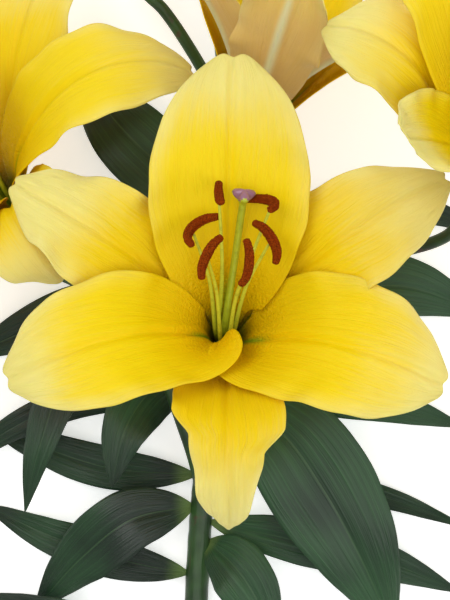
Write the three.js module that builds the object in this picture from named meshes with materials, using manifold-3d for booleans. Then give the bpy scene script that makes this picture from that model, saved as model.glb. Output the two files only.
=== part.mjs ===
// A cut flowering stem of lily, laid on a table.
// One stem, with its flower stalks, carries leaves, one full bloom that faces up,
// three more blooms around it and two closed buds at the top.
// Millimetres, +Z up, the stem lies along Y with its cut end towards -Y.
import * as THREE from 'three';
import { mergeVertices } from 'three/addons/utils/BufferGeometryUtils.js';
import Module from 'manifold-3d';

// ---- Driving dimensions (mm, degrees) ----
const TEPAL_LENGTH = 140; // along the midrib of an inner tepal, base to tip
const INNER_WIDTH = 66; // widest place of an inner tepal
const OUTER_WIDTH = 50; // widest place of an outer tepal
const TEPAL_THICKNESS = 0.8;
const TUBE_RADIUS = 5.6; // of the ring on which the tepals stand
const TUBE_FLARE = 15; // angle between a tepal and the bloom's axis at its base
const TIP_FLARE = 95; // the same angle at the tip
const BASE_REACH = 51; // how far round the axis a tepal reaches to either side at its base
const OPEN_REACH = 100; // the same where the bloom has opened
const OVARY_RADIUS = 1.8;
const STYLE_LENGTH = 83;
const STYLE_DIAMETER = 3;
const STIGMA_DIAMETER = 9.6;
const FILAMENT_DIAMETER = 1.7;
const FILAMENT_SETBACK = 1.6; // from the ring of tepals in to the filaments' skin
const ANTHER_LENGTH = 23;
const ANTHER_DIAMETER = 4;
const STEM_DIAMETER = 12;
const STEM_TOP_DIAMETER = 7;
const STALK_DIAMETER = 5.5;
const LEAF_THICKNESS = 0.9;
const LEAF_WIDTH_SCALE = 1;
const LEAF_FOLD = 0.18; // rise of a leaf's edges per unit of its half width
const BUD_LENGTH = 58;
const BUD_DIAMETER = 17;
const CLEARANCE = 0.35; // air between pieces that touch

// The outer tepals stand this much further out when the inner tepals are wider.
const LAYOUT_INNER_WIDTH = 66;
const SPACING = (INNER_WIDTH / LAYOUT_INNER_WIDTH) ** 3;

// Places below are written for tepals of this length and spread out with them.
const LAYOUT_TEPAL_LENGTH = 140;
const SPREAD = TEPAL_LENGTH / LAYOUT_TEPAL_LENGTH;

// ---- Mesh fineness ----
const TEPAL_ROWS = 8;
const TEPAL_COLUMNS = 6;
const LESSER_COLUMNS = 4;
const LEAF_ROWS = 8;
const LEAF_COLUMNS = 2;
const FINE_RODS = { filament: [7, 6], anther: [5, 7], pistil: [20, 7] }; // steps and sides
const COARSE_RODS = { filament: [5, 5], anther: [4, 5], pistil: [12, 6] };

const wasm = await Module();
wasm.setup();

const UP = new THREE.Vector3(0, 0, 1);
const rad = THREE.MathUtils.degToRad;
const smooth = THREE.MathUtils.smoothstep;

/** A direction from an [x, y, z] list. */
function vec(list) {
  return new THREE.Vector3(...list);
}

/** A place on the plant from an [x, y, z] list. */
function place(list) {
  return vec(list).multiplyScalar(SPREAD);
}

/** A material with its colour, roughness and metalness. */
function finish(color, roughness) {
  return new THREE.MeshStandardMaterial({ color, roughness, metalness: 0 });
}

const FINISHES = {
  tepal: finish(0xf0d020, 0.45),
  leaf: finish(0x263f28, 0.4),
  stem: finish(0x3d6030, 0.5),
  filament: finish(0xd9d24a, 0.4),
  anther: finish(0x8f3206, 0.9),
  pistil: finish(0xc9cf5a, 0.35),
  bud: finish(0xc9d27a, 0.45),
};

// ---- Closed solids from grids and rings ----

/** A closed geometry from vertices and triangles, turned outward. */
function closedGeometry(points, triangles) {
  const raw = new THREE.BufferGeometry();
  const numbers = points.flatMap((p) => p.toArray());
  raw.setAttribute('position', new THREE.Float32BufferAttribute(numbers, 3));
  raw.setIndex(signedVolume(points, triangles) < 0 ? reversed(triangles) : triangles);
  return mergeVertices(raw, 1e-4);
}

/** Six times the volume that the triangles enclose. */
function signedVolume(points, triangles) {
  let total = 0;
  for (let i = 0; i < triangles.length; i += 3) {
    const [a, b, c] = [points[triangles[i]], points[triangles[i + 1]], points[triangles[i + 2]]];
    total += a.dot(new THREE.Vector3().crossVectors(b, c));
  }
  return total;
}

/** The same triangles, wound the other way. */
function reversed(triangles) {
  const turned = [];
  for (let i = 0; i < triangles.length; i += 3) {
    turned.push(triangles[i], triangles[i + 2], triangles[i + 1]);
  }
  return turned;
}

/**
 * A thin closed sheet: `surface(t, s, side)` gives its front (side 1) and back (side -1),
 * with t from 0 to 1 along it and s from -1 to 1 across it.
 */
function sheet(surface, rows, columns) {
  const points = [];
  for (const side of [1, -1]) {
    for (let i = 0; i <= rows; i += 1) {
      for (let j = 0; j <= columns; j += 1) {
        points.push(surface(i / rows, (2 * j) / columns - 1, side));
      }
    }
  }
  const layer = (rows + 1) * (columns + 1);
  const at = (i, j, back) => i * (columns + 1) + j + (back ? layer : 0);
  const triangles = [];
  const quad = (a, b, c, d) => triangles.push(a, b, c, a, c, d);
  for (let i = 0; i < rows; i += 1) {
    for (let j = 0; j < columns; j += 1) {
      quad(at(i, j), at(i, j + 1), at(i + 1, j + 1), at(i + 1, j));
      quad(at(i, j, true), at(i + 1, j, true), at(i + 1, j + 1, true), at(i, j + 1, true));
    }
    quad(at(i, 0), at(i + 1, 0), at(i + 1, 0, true), at(i, 0, true));
    quad(at(i, columns), at(i, columns, true), at(i + 1, columns, true), at(i + 1, columns));
  }
  for (let j = 0; j < columns; j += 1) {
    quad(at(0, j), at(0, j, true), at(0, j + 1, true), at(0, j + 1));
    quad(at(rows, j), at(rows, j + 1), at(rows, j + 1, true), at(rows, j, true));
  }
  return closedGeometry(points, triangles);
}

/** A closed round rod along a curve; `radius(t)` is its radius from end to end. */
function rod(curve, radius, steps, sides) {
  const frames = curve.computeFrenetFrames(steps, false);
  const points = [];
  const triangles = [];
  for (let i = 0; i <= steps; i += 1) {
    const centre = curve.getPointAt(i / steps);
    for (let j = 0; j < sides; j += 1) {
      const angle = (2 * Math.PI * j) / sides;
      const out = frames.normals[i].clone().multiplyScalar(Math.cos(angle));
      out.addScaledVector(frames.binormals[i], Math.sin(angle));
      points.push(centre.clone().addScaledVector(out, radius(i / steps)));
    }
  }
  const at = (i, j) => i * sides + (j % sides);
  for (let i = 0; i < steps; i += 1) {
    for (let j = 0; j < sides; j += 1) {
      triangles.push(at(i, j), at(i, j + 1), at(i + 1, j + 1));
      triangles.push(at(i, j), at(i + 1, j + 1), at(i + 1, j));
    }
  }
  const start = points.push(curve.getPointAt(0)) - 1;
  const end = points.push(curve.getPointAt(1)) - 1;
  for (let j = 0; j < sides; j += 1) {
    triangles.push(start, at(0, j + 1), at(0, j), end, at(steps, j), at(steps, j + 1));
  }
  return closedGeometry(points, triangles);
}

/** A smooth curve through a list of points. */
function smoothCurve(list) {
  return new THREE.CatmullRomCurve3(list, false, 'centripetal');
}

// ---- Joining and cutting ----

/** A manifold solid from a closed geometry. */
function solid(geometry) {
  const merged = geometry.clone();
  merged.deleteAttribute('normal');
  merged.deleteAttribute('uv');
  const welded = mergeVertices(merged, 1e-4);
  return new wasm.Manifold(new wasm.Mesh({
    numProp: 3,
    vertProperties: new Float32Array(welded.attributes.position.array),
    triVerts: new Uint32Array(welded.index.array),
  }));
}

/** A three.js geometry from a manifold solid. */
function geometryOf(manifold) {
  const mesh = manifold.getMesh();
  const geometry = new THREE.BufferGeometry();
  const numbers = Float32Array.from(mesh.vertProperties);
  geometry.setAttribute('position', new THREE.BufferAttribute(numbers, 3));
  geometry.setIndex(new THREE.BufferAttribute(Uint32Array.from(mesh.triVerts), 1));
  return geometry;
}

/** All the geometries joined into one. */
function joined(geometries) {
  return geometryOf(geometries.map(solid).reduce((whole, piece) => whole.add(piece)));
}

// ---- Bloom ----

/**
 * The side profile that every tepal of a bloom follows, in its axis' half-plane:
 * distance from the axis, height along it and flare angle at a share t of the length.
 */
function profile(bloom, tepal) {
  const steps = 40;
  const table = [{ r: TUBE_RADIUS, h: CLEARANCE, flare: rad(TUBE_FLARE) }];
  const length = TEPAL_LENGTH * (bloom.size ?? 1) * (tepal.length ?? 1);
  for (let i = 1; i <= steps; i += 1) {
    const t = i / steps;
    const open = TUBE_FLARE + ((bloom.flare ?? TIP_FLARE) - TUBE_FLARE) * t * (tepal.length ?? 1);
    const flare = rad(open + (tepal.curl ?? 0) * smooth(t, 0.45, 1));
    const last = table[i - 1];
    const step = length / steps;
    table.push({ r: last.r + step * Math.sin(flare), h: last.h + step * Math.cos(flare), flare });
  }
  return (t) => {
    const place = Math.min(Math.max(t, 0), 1) * steps;
    const low = Math.min(Math.floor(place), steps - 1);
    const share = place - low;
    const mix = (key) => table[low][key] * (1 - share) + table[low + 1][key] * share;
    return { r: mix('r'), h: mix('h'), flare: mix('flare') };
  };
}

/** Half the width of a tepal at a share t of its length. */
function tepalHalfWidth(t, width) {
  const widest = 0.6;
  const base = 0.16;
  const tip = 0.1;
  if (t < widest) {
    return (width / 2) * (base + (1 - base) * Math.sin((Math.PI / 2) * (t / widest)) ** 1.2);
  }
  const past = (t - widest) / (1 - widest);
  return (width / 2) * Math.max(Math.sqrt(1 - past * past), tip);
}

/** One tepal as a closed sheet around the bloom's axis (its Z). */
function tepalGeometry(bloom, tepal) {
  const side = profile(bloom, tepal);
  const width = (tepal.outer ? OUTER_WIDTH : INNER_WIDTH) * (bloom.size ?? 1) * (tepal.width ?? 1);
  const baseLayer = (tepal.outer ? -1 : 1) * (TEPAL_THICKNESS / 2 + CLEARANCE / 2 + 0.1);
  const surface = (t, s, face) => {
    const along = t < 1 ? Math.sin((Math.PI / 2) * t) * 0.25 + t * 0.75 : 1;
    const { r, h, flare } = side(along);
    const half = tepalHalfWidth(along, width);
    const reach = rad(THREE.MathUtils.lerp(BASE_REACH, OPEN_REACH, smooth(along, 0.16, 0.36)));
    const turn = Math.max(-reach, Math.min(reach, (s * half) / r));
    const layer = THREE.MathUtils.lerp(baseLayer, tepal.layer, smooth(along, 0, 0.24));
    const lift = (tepal.edge ?? 0) * s * s * smooth(along, 0.3, 0.8);
    const offset = layer + lift + (face * TEPAL_THICKNESS) / 2;
    const radius = r - offset * Math.cos(flare);
    const angle = rad(tepal.azimuth) + turn;
    const height = h + offset * Math.sin(flare);
    return new THREE.Vector3(radius * Math.sin(angle), radius * Math.cos(angle), height);
  };
  return sheet(surface, TEPAL_ROWS, bloom.separateStamens ? TEPAL_COLUMNS : LESSER_COLUMNS);
}

/** Where a stamen's filament stands on the receptacle. */
function filamentFoot(index) {
  const ring = TUBE_RADIUS - FILAMENT_SETBACK - FILAMENT_DIAMETER / 2;
  const angle = rad(60 * index - 30);
  return new THREE.Vector3(ring * Math.sin(angle), ring * Math.cos(angle), CLEARANCE);
}

/** A filament: a slender rod from the receptacle to the middle of its anther. */
function filamentGeometry(stamen, index, fineness = FINE_RODS) {
  const foot = filamentFoot(index);
  const { tip } = stamen;
  const rise = new THREE.Vector3(foot.x * 1.35, foot.y * 1.35, tip.z * 0.35);
  const bend = tip.clone().multiplyScalar(0.5).add(new THREE.Vector3(0, 0, tip.z * 0.2));
  const curve = smoothCurve([foot, rise, bend, tip]);
  return rod(curve, (t) => (FILAMENT_DIAMETER / 2) * (1 - 0.35 * t), ...fineness.filament);
}

/** An anther: a bent sausage balanced on its filament's tip. */
function antherGeometry(stamen, gap = CLEARANCE, fineness = FINE_RODS) {
  const along = vec(stamen.chord).normalize();
  const { tip } = stamen;
  const stalk = tip.clone().normalize();
  const out = stalk.addScaledVector(along, -stalk.dot(along)).normalize();
  const middle = tip.clone().addScaledVector(out, ANTHER_DIAMETER / 2 + gap);
  const half = ANTHER_LENGTH / 2;
  const sag = ANTHER_LENGTH * 0.16;
  const end = (sign) => middle.clone().addScaledVector(along, sign * half * 0.92);
  const curve = smoothCurve([
    end(-1).addScaledVector(out, sag),
    middle.clone().addScaledVector(along, -half * 0.5).addScaledVector(out, sag * 0.3),
    middle,
    middle.clone().addScaledVector(along, half * 0.5).addScaledVector(out, sag * 0.3),
    end(1).addScaledVector(out, sag),
  ]);
  const swell = (t) => Math.sin(Math.PI * (0.08 + 0.84 * t)) ** 0.6;
  const round = (t) => (ANTHER_DIAMETER / 2) * (0.45 + 0.55 * swell(t));
  return rod(curve, round, ...fineness.anther);
}

const STIGMA_PLACE = [8, 44.5, 70]; // which way the style leans, in the bloom's own frame

/** The pistil: ovary, style and three-lobed stigma, grown as one. */
function pistilGeometry(bloom, fineness = FINE_RODS) {
  const lean = (bloom.stamenSpread ?? 1) / SPREAD ** 2; // a longer tube holds the style straighter
  const direction = vec(STIGMA_PLACE).multiply(new THREE.Vector3(lean, lean, 1));
  const reach = direction.normalize().multiplyScalar(STYLE_LENGTH * (bloom.size ?? 1));
  const curve = smoothCurve([
    new THREE.Vector3(0, 0, CLEARANCE),
    new THREE.Vector3(0, 0, STYLE_LENGTH * 0.3),
    new THREE.Vector3(reach.x * 0.55, reach.y * 0.55, reach.z * 0.68),
    reach,
  ]);
  const round = (t) => {
    const style = STYLE_DIAMETER / 2;
    if (t < 0.25) {
      return OVARY_RADIUS;
    }
    return t > 0.94 ? THREE.MathUtils.lerp(style, STIGMA_DIAMETER / 2, (t - 0.94) / 0.06) : style;
  };
  return rod(curve, round, ...fineness.pistil);
}

/** The stamens and pistil of a lesser bloom, joined at a small disc into one solid. */
function stamensAndPistilGeometry(bloom) {
  const disc = new THREE.CylinderGeometry(TUBE_RADIUS - 1.3, TUBE_RADIUS - 1.3, 1.4, 12);
  disc.rotateX(Math.PI / 2);
  disc.translate(0, 0, CLEARANCE + 0.7);
  const pieces = [disc, pistilGeometry(bloom, COARSE_RODS)];
  STAMENS.map((stamen) => stamenIn(bloom, stamen)).forEach((stamen, index) => {
    pieces.push(filamentGeometry(stamen, index, COARSE_RODS), antherGeometry(stamen, -0.4, COARSE_RODS));
  });
  return joined(pieces);
}

/** A stamen as it stands in a bloom that may be smaller or less open. */
function stamenIn(bloom, stamen) {
  const size = bloom.size ?? 1;
  const spread = size * (bloom.stamenSpread ?? 1);
  const tip = place([stamen.tip[0] * spread, stamen.tip[1] * spread, stamen.tip[2] * size]);
  return { ...stamen, tip };
}

/** The six stamens: where each filament ends and which way its anther points. */
const STAMENS = [
  { name: 'top_left', tip: [-2, 39.5, 71], chord: [1, -8.6, 15.2] },
  { name: 'top_right', tip: [16, 36.5, 67.5], chord: [8, -8.3, 12] },
  { name: 'right', tip: [16, 23.5, 64], chord: [9, -17, -2] },
  { name: 'bottom_right', tip: [8, 12, 72], chord: [-2, -17.5, 0] },
  { name: 'bottom_left', tip: [-5.5, 16, 68], chord: [-8, -17, -2] },
  { name: 'left', tip: [-10, 28, 62], chord: [-9, -12, 5] },
];

// Blooms: base and axis of each, then its tepals. Azimuth 0 points to the bloom's upper side.
const OUTER = { outer: true, layer: -2.2 * SPACING };
const BLOOMS = [
  {
    name: 'main',
    base: [0, -18, 48],
    axis: [0, 0.28, 0.96],
    separateStamens: true,
    tepals: [
      { name: 'top_inner', azimuth: 2, layer: 3.4, edge: 1.5, curl: -4, length: 0.94, width: 1.12 },
      { name: 'right_inner', azimuth: 110, layer: 1.4, curl: 40, length: 0.88, width: 0.94 },
      { name: 'left_inner', azimuth: 251, layer: 5.4, curl: 44, length: 0.85, width: 0.9 },
      { name: 'top_right_outer', azimuth: 60, ...OUTER, edge: -1, curl: 14, length: 0.97 },
      { name: 'bottom_outer', azimuth: 179, ...OUTER, edge: -1, curl: 84, length: 0.97, width: 0.82 },
      { name: 'top_left_outer', azimuth: 300, ...OUTER, edge: -1, curl: 14, length: 0.93 },
    ],
  },
  {
    name: 'left',
    base: [-98, 42, 14],
    axis: [-0.3, 0.45, 0.84],
    stamenSpread: 0.7,
    tepals: [
      { name: 'top_outer', azimuth: 18, ...OUTER, curl: 10 },
      { name: 'top_right_inner', azimuth: 64, layer: 3.4, curl: 62, width: 0.8 },
      { name: 'bottom_right_outer', azimuth: 136, ...OUTER, curl: 110, length: 0.85 },
      { name: 'bottom_inner', azimuth: 190, layer: 1.4, curl: 45 },
      { name: 'bottom_left_outer', azimuth: 244, ...OUTER, curl: 10 },
      { name: 'top_left_inner', azimuth: 304, layer: 5.4, curl: 5 },
    ],
  },
  {
    name: 'right',
    base: [103, 56, 80],
    axis: [0.14, 0.35, 0.93],
    stamenSpread: 0.6,
    tepals: [
      { name: 'top_inner', azimuth: -12, layer: 3.4, curl: 5 },
      { name: 'top_right_outer', azimuth: 58, ...OUTER, curl: 10 },
      { name: 'bottom_right_inner', azimuth: 118, layer: 1.4, curl: 10 },
      { name: 'bottom_outer', azimuth: 178, ...OUTER, curl: 30 },
      { name: 'bottom_left_inner', azimuth: 246, layer: 5.4, curl: -10, length: 0.6, width: 0.8 },
      { name: 'top_left_outer', azimuth: 304, ...OUTER, curl: 66, length: 0.8 },
    ],
  },
  {
    name: 'back',
    base: [9, 72, 26],
    axis: [0.3, 0.86, 0.42],
    upper: [0, 0, 1],
    size: 0.95,
    stamenSpread: 0.35,
    flare: 74,
    tepals: [
      { name: 'top_outer', azimuth: 0, ...OUTER, curl: -53, width: 0.8, length: 0.89 },
      { name: 'top_right_inner', azimuth: 60, layer: 3.4, curl: -10 },
      { name: 'bottom_right_outer', azimuth: 120, ...OUTER, curl: -36 },
      { name: 'bottom_inner', azimuth: 180, layer: 1.4, curl: -60, length: 0.9 },
      { name: 'bottom_left_outer', azimuth: 240, ...OUTER, curl: -36 },
      { name: 'top_left_inner', azimuth: 300, layer: 5.4, curl: -20, length: 0.9 },
    ],
  },
];

/** Turns a bloom's own frame (axis on Z, upper side on Y) to its place on the plant. */
function bloomPlacement(bloom) {
  const axis = vec(bloom.axis).normalize();
  const upper = vec(bloom.upper ?? [0, 1, 0]);
  upper.addScaledVector(axis, -upper.dot(axis)).normalize();
  const side = new THREE.Vector3().crossVectors(upper, axis);
  const matrix = new THREE.Matrix4().makeBasis(side, upper, axis);
  return matrix.setPosition(place(bloom.base));
}

// ---- Leaves ----

const LEAF_FOOT_RISE = rad(18); // how far round the stem's side a leaf starts, above level

/** Half the width of a leaf at a share t of its length. */
function leafHalfWidth(t, width) {
  const shape = Math.sin(Math.PI * t ** 0.8) ** 0.9;
  return (width / 2) * LEAF_WIDTH_SCALE * Math.max(shape, 0.12);
}

/** Where a leaf's midrib starts, just outside the stem's skin. */
function leafFoot(leaf) {
  const { centre, radius } = stemAt(leaf.foot);
  const out = new THREE.Vector3(leaf.side * Math.cos(LEAF_FOOT_RISE), 0, Math.sin(LEAF_FOOT_RISE));
  return centre.addScaledVector(out, radius + CLEARANCE + LEAF_THICKNESS * LEAF_WIDTH_SCALE ** 2);
}

/** A leaf let down at its tip until it lies on the table, at height 0. */
function lyingLeafGeometry(leaf) {
  const first = leafGeometry(leaf, 0);
  first.computeBoundingBox();
  return leaf.hangs ? first : leafGeometry(leaf, -first.boundingBox.min.z);
}

/** A leaf blade along its midrib: a thin sheet folded a little along the middle. */
function leafGeometry(leaf, tipLift) {
  const route = [leafFoot(leaf), ...leaf.way.map(place)];
  route.at(-1).z += tipLift;
  const curve = smoothCurve(route);
  const surface = (t, s, face) => {
    const point = curve.getPointAt(t);
    const along = curve.getTangentAt(t);
    const upward = UP.clone().addScaledVector(along, -UP.dot(along)).normalize();
    const across = new THREE.Vector3().crossVectors(along, upward);
    const normal = new THREE.Vector3().crossVectors(across, along);
    const half = leafHalfWidth(t, leaf.width);
    const fold = LEAF_FOLD * Math.abs(s) * half;
    point.addScaledVector(across, s * half);
    return point.addScaledVector(normal, fold + (face * LEAF_THICKNESS) / 2);
  };
  return sheet(surface, LEAF_ROWS, LEAF_COLUMNS);
}

// Leaves, from the cut end up: where each leaves the stem (along Y), on which side, its widest
// width and the way of its midrib. Its tip is let down until it lies on the table.
const LEAVES = [
  {
    name: 'lowest_left_leaf', foot: -172, side: -1, width: 24,
    way: [[-52, -158, 12], [-86, -146, 9], [-114, -138, 2]],
  },
  {
    name: 'lowest_right_leaf', foot: -150, side: 1, width: 26,
    way: [[22, -166, 8], [52, -180, 7], [82, -198, 2]],
  },
  {
    name: 'left_floor_leaf', foot: -128, side: -1, width: 20,
    way: [[-46, -122, 7], [-82, -110, 6], [-116, -95, 2]],
  },
  {
    name: 'low_middle_leaf', foot: -112, side: 1, width: 28, hangs: true,
    way: [[6, -124, 22], [15, -138, 24], [22, -158, 20]],
  },
  {
    name: 'low_right_leaf', foot: -103, side: 1, width: 22,
    way: [[35, -112, 13], [75, -122, 10], [112, -138, 2]],
  },
  {
    name: 'low_left_leaf', foot: -96, side: -1, width: 30,
    way: [[-43, -101, 19], [-66, -119, 14], [-90, -146, 2]],
  },
  {
    name: 'straight_left_leaf', foot: -82, side: -1, width: 20,
    way: [[-56, -78, 7], [-92, -66, 6], [-118, -56, 2]],
  },
  {
    name: 'narrow_right_leaf', foot: -78, side: 1, width: 13,
    way: [[40, -84, 6], [80, -94, 5], [116, -108, 2]],
  },
  {
    name: 'big_right_leaf', foot: -46, side: 1, width: 50,
    way: [[25, -60, 23], [45, -87, 24], [62, -118, 20], [80, -158, 2]],
  },
  {
    name: 'arched_left_leaf', foot: -46, side: -1, width: 16,
    way: [[-32, -43, 6], [-72, -48, 13], [-106, -64, 12], [-128, -86, 2]],
  },
  {
    name: 'broad_dark_leaf', foot: -29, side: -1, width: 27, hangs: true,
    way: [[-34, -42, 13], [-46, -60, 23], [-52, -86, 22]],
  },
  {
    name: 'right_arched_leaf', foot: -26, side: 1, width: 21,
    way: [[34, -40, 14], [74, -48, 14], [114, -60, 2]],
  },
  {
    name: 'hanging_left_leaf', foot: -14, side: -1, width: 22, hangs: true,
    way: [[-40, -25, 17], [-72, -38, 24], [-84, -66, 29], [-92, -98, 20]],
  },
  {
    name: 'right_broad_leaf', foot: 6, side: 1, width: 34,
    way: [[44, 5, 14], [84, 6, 16], [124, -8, 2]],
  },
  {
    name: 'left_broad_leaf', foot: 6, side: -1, width: 30,
    way: [[-48, -3, 7], [-86, -12, 7], [-124, -28, 2]],
  },
  {
    name: 'upper_right_leaf', foot: 22, side: 1, width: 18,
    way: [[46, 38, 12], [88, 42, 12], [128, 30, 2]],
  },
  {
    name: 'upper_left_leaf', foot: 38, side: -1, width: 36,
    way: [[-28, 60, 14], [-50, 82, 15], [-72, 112, 2]],
  },
];

// ---- Stem ----

// The stem's way over the table: x, y and how far its skin is lifted above the table.
const STEM_WAY = [
  [-14, -205, 0],
  [-13, -130, 0],
  [-8, -60, 0.6],
  [-4, 0, 1.5],
  [-1, 60, 4],
  [-2, 122, 6],
  [-14, 152, 7],
];

// Flower stalks: where each leaves the stem and the way to what it carries.
const STALKS = [
  { carries: 'main', foot: -98, way: [[-4, -80, 15], [-1, -58, 22], [-1, -36, 31]] },
  { carries: 'left', foot: -90, way: [[-18, -62, 19], [-38, -14, 26], [-64, 6, 21], [-90, 20, 12]] },
  { carries: 'right', foot: -12, way: [[20, 6, 20], [62, 18, 34], [100, 30, 50]] },
  { carries: 'back', foot: 34, way: [[3, 50, 17], [8, 61, 26]] },
  { carries: 'left_bud', foot: 88, way: [[-14, 112, 20], [-28, 132, 27]] },
];

// Closed buds: base and axis of each.
const BUDS = [
  { name: 'left_bud', base: [-38, 146, 30], axis: [-0.3, 0.95, 0.1] },
  { name: 'top_bud', base: [-14, 152, 11], axis: [-0.42, 0.9, 0.02] },
];

/** The stem's radius at a share t of its length. */
function stemRadius(t) {
  return THREE.MathUtils.lerp(STEM_DIAMETER, STEM_TOP_DIAMETER, t) / 2;
}

/** The stem's middle line, lying on the table. */
function stemCurve() {
  return smoothCurve(STEM_WAY.map(([x, y, lift], index) => {
    const point = place([x, y, lift]);
    point.z += stemRadius(index / (STEM_WAY.length - 1));
    return point;
  }));
}

/** The stem's centre and radius where it passes a place along Y. */
function stemAt(y) {
  const curve = stemCurve();
  const steps = 200;
  let nearest = 0;
  for (let i = 1; i <= steps; i += 1) {
    const gap = Math.abs(curve.getPointAt(i / steps).y - y * SPREAD);
    if (gap < Math.abs(curve.getPointAt(nearest / steps).y - y * SPREAD)) {
      nearest = i;
    }
  }
  return { centre: curve.getPointAt(nearest / steps), radius: stemRadius(nearest / steps) };
}

/** One flower stalk, from inside the stem to the seat of its bloom or bud. */
function stalkGeometry(stalk) {
  const carried = [...BLOOMS, ...BUDS].find((item) => item.name === stalk.carries);
  const seat = carried.tepals ? TUBE_RADIUS + TEPAL_THICKNESS + CLEARANCE : BUD_DIAMETER * 0.2;
  const end = place(carried.base);
  const before = end.clone().addScaledVector(vec(carried.axis).normalize(), -STALK_DIAMETER * 1.2);
  const route = [stemAt(stalk.foot).centre, ...stalk.way.map(place), before, end];
  const radius = (t) => THREE.MathUtils.lerp(STALK_DIAMETER / 2, seat, smooth(t, 0.9, 1));
  return rod(smoothCurve(route), radius, 12, 8);
}

/** The stem with its flower stalks, grown as one. */
function stemGeometry() {
  return joined([rod(stemCurve(), stemRadius, 20, 10), ...STALKS.map(stalkGeometry)]);
}

/** A closed bud: a long egg with three shallow furrows. */
function budGeometry(bud) {
  const axis = vec(bud.axis).normalize();
  const base = place(bud.base).addScaledVector(axis, CLEARANCE);
  const curve = new THREE.LineCurve3(base, base.clone().addScaledVector(axis, BUD_LENGTH));
  const swell = (t) => Math.sin(Math.PI * (0.08 + 0.9 * t)) ** 0.7;
  const radius = (t) => (BUD_DIAMETER / 2) * Math.max(swell(t), 0.2);
  return rod(curve, radius, 10, 12);
}

// ---- The whole plant ----

const plant = new THREE.Group();

/** Adds one named piece. */
function addPiece(name, geometry, material, parent = plant) {
  const mesh = new THREE.Mesh(geometry, material);
  mesh.name = name;
  parent.add(mesh);
}

for (const bloom of BLOOMS) {
  const group = new THREE.Group();
  group.applyMatrix4(bloomPlacement(bloom));
  plant.add(group);
  for (const tepal of bloom.tepals) {
    addPiece(`${bloom.name}_${tepal.name}_tepal`, tepalGeometry(bloom, tepal), FINISHES.tepal, group);
  }
  if (bloom.separateStamens) {
    STAMENS.map((stamen) => stamenIn(bloom, stamen)).forEach((stamen, index) => {
      const name = `${bloom.name}_${stamen.name}`;
      addPiece(`${name}_filament`, filamentGeometry(stamen, index), FINISHES.filament, group);
      addPiece(`${name}_anther`, antherGeometry(stamen), FINISHES.anther, group);
    });
    addPiece(`${bloom.name}_pistil`, pistilGeometry(bloom), FINISHES.pistil, group);
  } else {
    const geometry = stamensAndPistilGeometry(bloom);
    addPiece(`${bloom.name}_stamens_and_pistil`, geometry, FINISHES.filament, group);
  }
}
for (const bud of BUDS) {
  addPiece(bud.name, budGeometry(bud), FINISHES.bud);
}
for (const leaf of LEAVES) {
  addPiece(leaf.name, lyingLeafGeometry(leaf), FINISHES.leaf);
}
addPiece('stem', stemGeometry(), FINISHES.stem);

// The origin is under the middle of the plant, on the table.
const bounds = new THREE.Box3().setFromObject(plant, true);
const middle = bounds.getCenter(new THREE.Vector3());
plant.position.set(-middle.x, -middle.y, -bounds.min.z);
plant.updateMatrixWorld(true);

export default plant;
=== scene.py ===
"""A cut flowering stem of a yellow trumpet lily, lying on a table: its looks.

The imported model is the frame. Every petal, stamen, leaf, bud and the stem is modelled
here again in full detail, in the place that its plain CAD solid holds, and stands for it.
Sizes are written in millimetres and turned into metres where a mesh is made.
"""

import logging
import math
from dataclasses import dataclass, field
from enum import Enum
from typing import Callable, Iterable, Sequence

import bpy
from mathutils import Matrix, Vector, noise


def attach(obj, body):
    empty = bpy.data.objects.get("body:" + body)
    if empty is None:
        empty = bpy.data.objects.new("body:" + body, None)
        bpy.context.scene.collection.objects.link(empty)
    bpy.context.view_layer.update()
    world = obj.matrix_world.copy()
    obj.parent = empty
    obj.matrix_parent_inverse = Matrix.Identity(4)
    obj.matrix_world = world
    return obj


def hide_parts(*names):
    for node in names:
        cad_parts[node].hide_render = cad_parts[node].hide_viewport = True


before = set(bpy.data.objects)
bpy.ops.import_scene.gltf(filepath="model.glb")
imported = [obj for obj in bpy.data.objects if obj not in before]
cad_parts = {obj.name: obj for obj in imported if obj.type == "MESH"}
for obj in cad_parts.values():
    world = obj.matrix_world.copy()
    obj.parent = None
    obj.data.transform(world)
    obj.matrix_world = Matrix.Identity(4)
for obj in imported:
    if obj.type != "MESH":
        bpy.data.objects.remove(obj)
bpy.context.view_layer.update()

log = logging.getLogger("lily")

MM = 0.001
TEPAL_LENGTH = 140.0
INNER_WIDTH = 66.0
OUTER_WIDTH = 50.0
TUBE_RADIUS = 5.6
TUBE_FLARE = 15.0
TIP_FLARE = 95.0
CAD_TEPAL_THICKNESS = 0.8
CLEARANCE = 0.35
OVARY_RADIUS = 1.8
STYLE_LENGTH = 83.0
STYLE_DIAMETER = 3.0
STIGMA_DIAMETER = 9.6
FILAMENT_DIAMETER = 1.7
FILAMENT_SETBACK = 1.6
ANTHER_LENGTH = 23.0
ANTHER_DIAMETER = 4.0
STEM_DIAMETER = 12.0
STEM_TOP_DIAMETER = 7.0
STALK_DIAMETER = 5.5
LEAF_THICKNESS = 0.9
BUD_LENGTH = 58.0
BUD_DIAMETER = 17.0
BODY = "root"

Surface = Callable[[float, float], Vector]
Girth = Callable[[float, float], float]
Socket = bpy.types.NodeSocket
Material = bpy.types.Material
Piece = bpy.types.Object


# ---------------------------------------------------------------- small maths


def smooth(value: float, low: float, high: float) -> float:
    """A smooth step from 0 at low to 1 at high."""
    share = min(max((value - low) / (high - low), 0.0), 1.0)
    return share * share * (3.0 - 2.0 * share)


def lerp(low: float, high: float, share: float) -> float:
    """The value at a share of the way from low to high."""
    return low + (high - low) * share


def bump_at(value: float, centre: float, width: float) -> float:
    """A soft hump of height 1 around a centre."""
    return math.exp(-(((value - centre) / width) ** 2))


def wobble(seed: float, *place: float) -> float:
    """Smooth noise from -1 to 1 at a place of up to two coordinates."""
    x, y = (*place, 0.0)[:2]
    return noise.noise(Vector((x, y, seed * 7.31)))


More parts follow.
